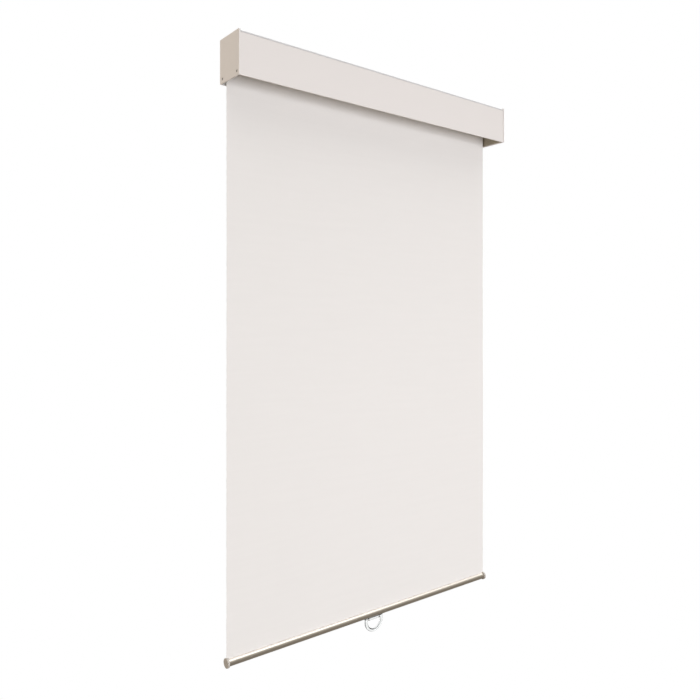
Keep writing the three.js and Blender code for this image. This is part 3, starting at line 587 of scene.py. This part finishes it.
def drawn_finish():
    """Bare aluminium with fine lines along the tube, left by the die: noise drawn out along x."""
    material = bpy.data.materials.new("drawn_aluminium")
    nodes, link = node_tree_of(material)
    shader = nodes["Principled BSDF"]
    shader.inputs["Metallic"].default_value = 1.0
    place = nodes.new("ShaderNodeTexCoord").outputs["Object"]
    effect = placed(nodes, tone_and_grain, Colour=(0.70, 0.70, 0.69, 1), Drift=0.06, Roughness=0.32,
                    Roughness_Drift=0.2, Grain=900.0)
    link(place, effect.inputs["Vector"])
    lines = stretched_noise(nodes, link, place, scale=(4, 2500, 2500))
    link(effect.outputs["Colour"], shader.inputs["Base Color"])
    link(effect.outputs["Roughness"], shader.inputs["Roughness"])
    bumped(nodes, link, shader, lines, 0.02 * MM)
    return material


drawn_aluminium = drawn_finish()
dress("roller_tube", drawn_aluminium, 0.1)
dress("fabric_fixing_strip", moulded_white)
for name in ("spring_plug", "idler_plug", "shaft_support", "idler_retainer"):
    dress(name, moulded_white, 0.15)
for name in ("pawl_a", "pawl_b", "pawl_pin_a", "pawl_pin_b", "idler_pin"):
    dress(name, zinc_plate, 0.12)

pin_spring_low, pin_spring_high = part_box("idler_spring")
PIN_WIRE_RADIUS = 0.45 * MM
PIN_SPRING_RADIUS = (pin_spring_high.z - pin_spring_low.z) / 2 - PIN_WIRE_RADIUS
PIN_SPRING_TURNS = 6
pin_points, pin_faces = coil_surface(
    pin_spring_low.x + PIN_WIRE_RADIUS, pin_spring_high.x - PIN_WIRE_RADIUS, PIN_SPRING_RADIUS,
    PIN_WIRE_RADIUS, PIN_SPRING_TURNS, AXIS_Y, AXIS_Z)
pin_spring = smooth_mesh("pin_spring", pin_points, pin_faces, oiled_wire)
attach(pin_spring, "roller")
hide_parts("idler_spring")
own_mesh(pin_spring)

# ---- Wound fabric ----
# The last turn of the same fabric stays on the tube when the blind is right down.
# It is a plain-weave polyester with a light slub across its width, and rolls off the tube's rear side.
FABRIC_COLOUR = (0.805, 0.768, 0.728)
THREAD = 0.5 * MM


def make_weave_group():
    """Plain weave: the product of two sine waves a thread apart gives over and under, and noise drawn out
    along the weft gives slubs, which are thicker threads a little lighter or darker. Vector is in metres."""
    group, given, result, nodes, link = shader_group(
        "plain_weave",
        [("Vector", "NodeSocketVector", None), ("Colour", "NodeSocketColor", (0.8, 0.8, 0.8, 1)),
         ("Thread", "NodeSocketFloat", 0.0005), ("Slub", "NodeSocketFloat", 0.04)],
        [("Colour", "NodeSocketColor"), ("Height", "NodeSocketFloat"), ("Roughness", "NodeSocketFloat")],
    )
    split = nodes.new("ShaderNodeSeparateXYZ")
    link(given["Vector"], split.inputs[0])
    waves = []
    for axis in ("X", "Y"):
        count = maths(nodes, link, "DIVIDE", split.outputs[axis], given["Thread"])
        phase = maths(nodes, link, "MULTIPLY", count, math.pi)
        waves.append(maths(nodes, link, "SINE", phase, 0.0))
    over = maths(nodes, link, "MULTIPLY", waves[0], waves[1])
    slub = stretched_noise(nodes, link, given["Vector"], scale=(22, 1100, 1), roughness=0.6)
    broad = stretched_noise(nodes, link, given["Vector"], scale=(6, 90, 1))
    both = maths(nodes, link, "ADD", slub, broad)
    mean = maths(nodes, link, "MULTIPLY", both, 0.5)
    link(tone_shift(nodes, link, given["Colour"], given["Slub"], mean), result["Colour"])
    raised = maths(nodes, link, "MULTIPLY", over, 0.5)
    link(maths(nodes, link, "ADD", raised, slub), result["Height"])
    rougher = maths(nodes, link, "MULTIPLY", slub, 0.1)
    link(maths(nodes, link, "ADD", rougher, 0.85), result["Roughness"])
    return group


plain_weave = make_weave_group()


def blind_fabric_finish():
    """The weave on the cloth's own map, which is in metres, with a soft sheen."""
    material = bpy.data.materials.new("slub_fabric")
    nodes, link = node_tree_of(material)
    shader = nodes["Principled BSDF"]
    shader.inputs["Specular IOR Level"].default_value = 0.2
    shader.inputs["Sheen Weight"].default_value = 0.12
    shader.inputs["Sheen Roughness"].default_value = 0.5
    cloth_map = nodes.new("ShaderNodeUVMap")
    cloth_map.uv_map = "cloth"
    effect = placed(nodes, plain_weave, Colour=(*FABRIC_COLOUR, 1), Thread=THREAD, Slub=0.05)
    link(cloth_map.outputs[0], effect.inputs["Vector"])
    link(effect.outputs["Colour"], shader.inputs["Base Color"])
    link(effect.outputs["Roughness"], shader.inputs["Roughness"])
    bumped(nodes, link, shader, effect.outputs["Height"], depth=0.06 * MM, strength=0.6)
    return material


slub_fabric = blind_fabric_finish()
wound_low, wound_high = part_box("fabric_wound")
FABRIC_HALF = wound_high.x
WOUND_OUTER = (wound_high.z - wound_low.z) / 2
WOUND_THICK = 0.31 * MM
WOUND_GROWTH = 0.33 * MM
WOUND_TURNS = 1.0


def wound_surface(columns=25, steps=97):
    """One turn of a spiral: the radius grows evenly with the angle, by a little more than the cloth's
    thickness in a turn, from the tube out to the side where the cloth leaves. Its section goes out along the
    outer face and back along the inner one, and is carried along x."""
    angle = np.linspace(-2 * math.pi * WOUND_TURNS, 0, steps)
    grown = WOUND_GROWTH * angle / (2 * math.pi)
    outer = WOUND_OUTER + grown
    inner = outer - WOUND_THICK
    radius = np.concatenate([outer, inner[::-1]])
    around = np.concatenate([angle, angle[::-1]])
    length = around * WOUND_OUTER
    x = np.linspace(-FABRIC_HALF, FABRIC_HALF, columns)
    count = len(radius)
    section = np.stack([AXIS_Y + radius * np.cos(around), AXIS_Z - radius * np.sin(around)], -1)
    points = np.empty((columns, count, 3))
    points[:, :, 0] = x[:, None]
    points[:, :, 1:] = section[None]
    uv = np.empty((columns, count, 2))
    uv[:, :, 0] = x[:, None]
    uv[:, :, 1] = length[None]
    faces = grid_faces(columns, count, close_columns=True).tolist()
    step = np.arange(steps - 1)
    for first in (0, (columns - 1) * count):
        side = np.stack([step, step + 1, count - 2 - step, count - 1 - step], -1) + first
        faces += (side[:, ::-1] if first else side).tolist()
    return points.reshape(-1, 3), faces, uv.reshape(-1, 2)


wound_points, wound_faces, wound_uv = wound_surface()
wound_fabric = smooth_mesh("wound_fabric", wound_points, wound_faces, slub_fabric, wound_uv)
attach(wound_fabric, "roller")
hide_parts("fabric_wound")

# ---- Hanging fabric ----
# One flat panel from the roll's rear down into the hem bar's slot, cut square and unhemmed at its sides.
# Its weight and the bar's keep it flat, with only a slight bow across it and a hint of curl at its edges.
panel_low, panel_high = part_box("fabric_panel")
PANEL_DROP = panel_high.z - panel_low.z
PANEL_THICK = 0.4 * MM
PANEL_Y = (panel_low.y + panel_high.y) / 2
BOW = 0.45 * MM
RIPPLE = 0.25 * MM
EDGE_CURL = 0.7 * MM


def panel_surface(columns=97, rows=161):
    """Front and back face of a near-flat sheet. Its distance from the flat is a slow bow and a finer ripple,
    each a wave across times a wave down, plus a curl that grows with the fourth power of the place across.
    All of them fade out to nothing at the roll and at the bar, so that it enters each straight."""
    across = np.linspace(-1, 1, columns)
    down = np.linspace(0, 1, rows)
    u, v = np.meshgrid(across, down)
    free = np.sin(math.pi * v) ** 0.7
    wave = BOW * np.sin(2.3 * math.pi * u + 0.6) * np.sin(1.7 * math.pi * v + 0.4)
    wave += RIPPLE * np.sin(5.1 * math.pi * u + 1.9) * np.cos(0.8 * math.pi * v)
    curl = -EDGE_CURL * u ** 4 * (0.7 + 0.3 * np.sin(3.1 * math.pi * v + u))
    off = (wave + curl) * free
    x = u * FABRIC_HALF
    z = panel_high.z - v * PANEL_DROP
    front = np.stack([x, PANEL_Y - PANEL_THICK / 2 + off, z], -1).reshape(-1, 3)
    back = np.stack([x, PANEL_Y + PANEL_THICK / 2 + off, z], -1).reshape(-1, 3)
    uv = np.stack([x, z], -1).reshape(-1, 2)
    count = rows * columns
    face = grid_faces(rows, columns)
    top_side = np.arange(columns)
    right_side = np.arange(1, rows) * columns + columns - 1
    bottom_side = (rows - 1) * columns + np.arange(columns - 2, -1, -1)
    left_side = np.arange(rows - 2, 0, -1) * columns
    rim = np.concatenate([top_side, right_side, bottom_side, left_side])
    after = np.roll(rim, -1)
    edge = np.stack([rim, after, after + count, rim + count], -1)
    faces = np.concatenate([face, face[:, ::-1] + count, edge])
    return np.concatenate([front, back]), faces, np.concatenate([uv, uv])


panel_points, panel_faces, panel_uv = panel_surface()
hanging_fabric = smooth_mesh(
    "hanging_fabric", panel_points, panel_faces, slub_fabric, panel_uv)
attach(hanging_fabric, "cassette")
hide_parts("fabric_panel")
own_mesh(hanging_fabric)

# ---- End plates and their screws ----
# Flat aluminium covers with the profile's coat, a little larger than it on three sides.
# Two small cross-head screws, sunk flush in counterbores near the lower corners, hold each of them.
for end in ("left", "right"):
    dress(f"end_plate_{end}", powder_coat, 0.35)
HEAD_THICK = 1.6 * MM
HEAD_ROUND = 0.1 * MM
SHANK_RADIUS = 1.5 * MM
THREAD_PITCH = 0.5 * MM
LONG_SCREW = 5 * MM


def screw_surface(face, length, head_thick, head, shank, segments=48):
    """Rows of points round the screw's axis, from the recess's floor out to the head's rim, down its side,
    under it and along the shank to the tip. Each row is a radius and a depth down from the face. The recess's
    rows are a plus sign in polar form, which at any angle is the further of its two bars' edges."""
    turn = np.linspace(0, 2 * math.pi, segments, endpoint=False)
    c, s = np.abs(np.cos(turn)) + 1e-9, np.abs(np.sin(turn)) + 1e-9

    def plus(reach, half):
        return np.maximum(np.minimum(reach / c, half / s), np.minimum(half / c, reach / s))

    def ring(radius):
        return np.full(segments, radius)

    under_head = length - head_thick
    grooves = int(under_head / THREAD_PITCH * 0.8) if length > LONG_SCREW else 4
    recess = [(plus(0.30 * head, 0.08 * head), 0.9 * MM), (plus(0.55 * head, 0.14 * head), 0.75 * MM),
              (plus(0.66 * head, 0.17 * head), 0.05 * MM)]
    crown = [(ring(0.72 * head), 0.02 * MM), (ring(0.90 * head), 0.08 * MM), (ring(0.98 * head), 0.22 * MM),
             (ring(head), 0.40 * MM)]
    underside = [(ring(head), head_thick - HEAD_ROUND), (ring(head - HEAD_ROUND), head_thick),
                 (ring(shank), head_thick)]
    rows = recess + crown + underside
    for groove in range(grooves):
        at = head_thick + under_head * (0.12 + 0.8 * groove / grooves)
        rows.append((ring(shank), at))
        rows.append((ring(shank * 0.84), at + under_head * 0.4 / grooves))
    rows.append((ring(shank * 0.8), length - 0.5 * MM))
    rows.append((ring(shank * 0.3), length))
    radius = np.stack([row[0] for row in rows])
    depth = np.array([row[1] for row in rows])
    x = np.broadcast_to(face - depth[:, None], radius.shape)
    points = np.stack([x, radius * np.cos(turn), radius * np.sin(turn)], -1)
    faces = grid_faces(len(rows), segments, close_columns=True).tolist()
    faces.append(list(range(segments)))
    faces.append(list(range((len(rows) - 1) * segments, len(rows) * segments))[::-1])
    return points.reshape(-1, 3), [face[::-1] for face in faces]


screw_steel, _ = grained_finish(
    "dull_screw_steel", (0.36, 0.33, 0.29), roughness=0.36, drift=0.1, grain=1600, depth=0.01 * MM,
    metallic=1.0, spread=0.14)


def screw_in_plate(name, side):
    """A screw along x in the place of a CAD screw: side is -1 at the left end and 1 at the right."""
    low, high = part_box(name)
    head = (high.z - low.z) / 2
    outer = max(abs(low.x), abs(high.x))
    points, faces = screw_surface(outer, high.x - low.x, HEAD_THICK, head, SHANK_RADIUS)
    points[:, 1] += (low.y + high.y) / 2
    points[:, 2] += (low.z + high.z) / 2
    if side < 0:
        points[:, 0] *= -1
        faces = [face[::-1] for face in faces]
    piece = smooth_mesh(f"{name}_finished", points, faces, screw_steel)
    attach(piece, "cassette")
    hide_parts(name)


for end, side in (("left", -1), ("right", 1)):
    for place in ("front", "rear"):
        screw_in_plate(f"end_screw_{place}_{end}", side)

# ---- Hem bar, spline and caps ----
# A round extruded bar, anodised in a pale champagne tone, with a keyway along its top.
# A moulded spline holds the fabric in the keyway, and a taupe cap is pressed into the bar's bore at each end.


def anodised_finish(name, colour, roughness):
    """Satin anodised metal: a fine grain, and slight die lines along the bar, as noise drawn out along x."""
    material = bpy.data.materials.new(name)
    nodes, link = node_tree_of(material)
    shader = nodes["Principled BSDF"]
    shader.inputs["Metallic"].default_value = 0.98
    place = nodes.new("ShaderNodeTexCoord").outputs["Object"]
    effect = placed(nodes, tone_and_grain, Colour=(*colour, 1), Drift=0.05, Roughness=roughness,
                    Roughness_Drift=0.12, Grain=1400.0)
    link(place, effect.inputs["Vector"])
    lines = stretched_noise(nodes, link, place, scale=(6, 3000, 3000))
    link(effect.outputs["Colour"], shader.inputs["Base Color"])
    link(effect.outputs["Roughness"], shader.inputs["Roughness"])
    bumped(nodes, link, shader, lines, 0.01 * MM)
    return material


champagne = anodised_finish("champagne_anodised", (0.93, 0.885, 0.82), roughness=0.31)
dress("hem_bar", champagne, 0.12)
dress("hem_spline", moulded_white)
cap_moulding, cap_shader = grained_finish(
    "taupe_moulding", (0.54, 0.495, 0.445), roughness=0.36, drift=0.03, grain=2200, depth=0.01 * MM,
    spread=0.08)
cap_shader.inputs["Coat Weight"].default_value = 1.0
cap_shader.inputs["Coat Roughness"].default_value = 0.16
for end in ("left", "right"):
    dress(f"hem_cap_{end}", cap_moulding, 0.6)

# ---- Pull ring and its screws ----
# A clear moulded ring, straight along its top, with a saddle that fits the underside of the bar.
# Two small screws go up through the saddle into the bar's lower bore.


def clear_finish():
    """Clear moulded plastic: almost smooth, with faint flow lines. Its colour goes dark grey where it is seen
    at a slant: painted shade for the dark surroundings that show through its edges."""
    material = bpy.data.materials.new("clear_moulding")
    nodes, link = node_tree_of(material)
    shader = nodes["Principled BSDF"]
    # Painted shade: the base colour darkens towards the outline, where the surface is seen at a slant.
    slant = nodes.new("ShaderNodeLayerWeight")
    slant.inputs["Blend"].default_value = 0.5
    rim = nodes.new("ShaderNodeMapRange")
    rim.inputs["From Min"].default_value = 0.45
    rim.inputs["From Max"].default_value = 0.88
    link(slant.outputs["Facing"], rim.inputs["Value"])
    tint = nodes.new("ShaderNodeMixRGB")
    tint.inputs["Color1"].default_value = (0.92, 0.935, 0.93, 1)
    tint.inputs["Color2"].default_value = (0.16, 0.17, 0.17, 1)
    link(rim.outputs[0], tint.inputs["Fac"])
    link(tint.outputs[0], shader.inputs["Base Color"])
    shader.inputs["Transmission Weight"].default_value = 1.0
    shader.inputs["IOR"].default_value = 1.49
    shader.inputs["Roughness"].default_value = 0.03
    place = nodes.new("ShaderNodeTexCoord").outputs["Object"]
    flow = stretched_noise(nodes, link, place, scale=(60, 60, 60))
    bumped(nodes, link, shader, flow, depth=0.1 * MM, strength=0.4)
    return material


clear_moulding = clear_finish()
ring_low, ring_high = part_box("pull_ring")
bar_low, bar_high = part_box("hem_bar")
BAR_Z = (bar_low.z + bar_high.z) / 2
RING_TOP = ring_high.z
RING_HALF = ring_high.x
RING_THICK = 4.6 * MM
SADDLE_THICK = ring_high.y - ring_low.y
HOLE_RADIUS = 20 * MM
BOTTOM_BAND = 7.4 * MM
TOP_BAND = 7.0 * MM
OUTER_CORNER = 2.5 * MM
HOLE_CORNER = 2.0 * MM
SADDLE_BLEND = 3 * MM
SQUARENESS = 2.7
BAR_GAP = 0.3 * MM
BAR_CLEAR = (bar_high.y - bar_low.y) / 2 + BAR_GAP


def d_outline(radius, bottom, top, corner):
    """A D on its back, in x and z: half a circle below, upright sides, and a straight top with rounded
    corners. Each stretch has the same count of points whatever the size, so that two outlines pair up, and
    leaves its last point to the next stretch."""
    centre = bottom + radius
    low = np.linspace(math.pi, 2 * math.pi, 49)[:-1]
    up = np.linspace(0, 1, 7)[:-1]
    bend = np.linspace(0, math.pi / 2, 9)[:-1]
    along = np.linspace(0, 1, 25)[:-1]
    shoulder = top - corner
    x = np.concatenate([
        radius * np.cos(low), np.full_like(up, radius), radius - corner + corner * np.cos(bend),
        (radius - corner) * (1 - 2 * along), corner - radius - corner * np.sin(bend),
        np.full_like(up, -radius)])
    z = np.concatenate([
        centre + radius * np.sin(low), centre + (shoulder - centre) * up, shoulder + corner * np.sin(bend),
        np.full_like(along, top), shoulder + corner * np.cos(bend), shoulder + (centre - shoulder) * up])
    return x, z


def ring_surface(sides=28):
    """A closed band between two D outlines. Its section at each place is a squared ellipse, whose power is
    the squareness where a plain ellipse has 2. It reaches from the inner outline to the outer one and over
    the band's thickness, which grows to the saddle's along the top. Nothing stands above a cylinder that
    clears the bar."""
    outer_x, outer_z = d_outline(RING_HALF, ring_low.z, RING_TOP, OUTER_CORNER)
    inner_x, inner_z = d_outline(HOLE_RADIUS, ring_low.z + BOTTOM_BAND, RING_TOP - TOP_BAND, HOLE_CORNER)
    turn = np.linspace(0, 2 * math.pi, sides, endpoint=False)
    square = 2 / SQUARENESS
    reach = np.sign(np.cos(turn)) * np.abs(np.cos(turn)) ** square
    deep = np.sign(np.sin(turn)) * np.abs(np.sin(turn)) ** square
    share = (1 + reach) / 2
    x = inner_x[:, None] * (1 - share) + outer_x[:, None] * share
    z = inner_z[:, None] * (1 - share) + outer_z[:, None] * share
    near_top = np.clip((inner_z - (RING_TOP - TOP_BAND - HOLE_CORNER)) / HOLE_CORNER, 0, 1)
    near_middle = np.clip((RING_HALF - SADDLE_BLEND - np.abs(outer_x)) / SADDLE_BLEND, 0, 1)
    grown = (near_top * near_middle) ** 2
    thick = RING_THICK + (SADDLE_THICK - RING_THICK) * grown
    y = PANEL_Y + deep * thick[:, None] / 2
    under_bar = BAR_Z - np.sqrt(BAR_CLEAR ** 2 - (y - PANEL_Y) ** 2)
    points = np.stack([x, y, np.minimum(z, under_bar)], -1)
    return points.reshape(-1, 3), grid_faces(len(outer_x), sides, close_rows=True, close_columns=True)


def bore_surface(x, stages, segments=32):
    """A round bore along z: rows of one radius and one height each, closed at both ends."""
    turn = np.linspace(0, 2 * math.pi, segments, endpoint=False)
    radius, height = np.array(stages).T
    points = np.stack([x + radius[:, None] * np.cos(turn), PANEL_Y + radius[:, None] * np.sin(turn),
                       np.broadcast_to(height[:, None], (len(stages), segments))], -1)
    faces = grid_faces(len(stages), segments, close_columns=True)[:, ::-1].tolist()
    faces.append(list(range(segments))[::-1])
    faces.append(list(range((len(stages) - 1) * segments, len(stages) * segments)))
    return points.reshape(-1, 3), faces


def cut_away(piece, points, faces):
    """Takes a closed shape out of a piece's mesh, with its shading left off meanwhile."""
    mesh = bpy.data.meshes.new("cutter")
    mesh.from_pydata(points.tolist(), [], faces)
    cutter = bpy.data.objects.new("cutter", mesh)
    bpy.context.scene.collection.objects.link(cutter)
    cut = piece.modifiers.new("cut", "BOOLEAN")
    cut.operation = "DIFFERENCE"
    cut.object = cutter
    piece.modifiers.move(len(piece.modifiers) - 1, 0)
    shading = piece.modifiers["shading"]
    shading.show_viewport = shading.show_render = False
    ready = piece.evaluated_get(bpy.context.evaluated_depsgraph_get())
    piece.data = bpy.data.meshes.new_from_object(ready)
    shading.show_viewport = shading.show_render = True
    piece.modifiers.remove(cut)
    bpy.data.objects.remove(cutter)


ring_points, ring_faces = ring_surface()
clear_ring = smooth_mesh("clear_ring", ring_points, ring_faces, clear_moulding)
HEAD_HOLE_RADIUS = 2.5 * MM
SHANK_HOLE_RADIUS = 1.6 * MM
HEAD_SEAT = RING_TOP - TOP_BAND + 2 * MM
HOLE_STEP = HEAD_SEAT + 0.3 * MM
SCREW_BORE = [(HEAD_HOLE_RADIUS, HEAD_SEAT - 6 * MM), (HEAD_HOLE_RADIUS, HOLE_STEP),
              (SHANK_HOLE_RADIUS, HOLE_STEP), (SHANK_HOLE_RADIUS, RING_TOP + 3 * MM)]
for end in ("left", "right"):
    screw_low, screw_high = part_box(f"ring_screw_{end}")
    cut_away(clear_ring, *bore_surface((screw_low.x + screw_high.x) / 2, SCREW_BORE))
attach(clear_ring, "hem")
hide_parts("pull_ring")
for end in ("left", "right"):
    dress(f"ring_screw_{end}", screw_steel, 0.2)
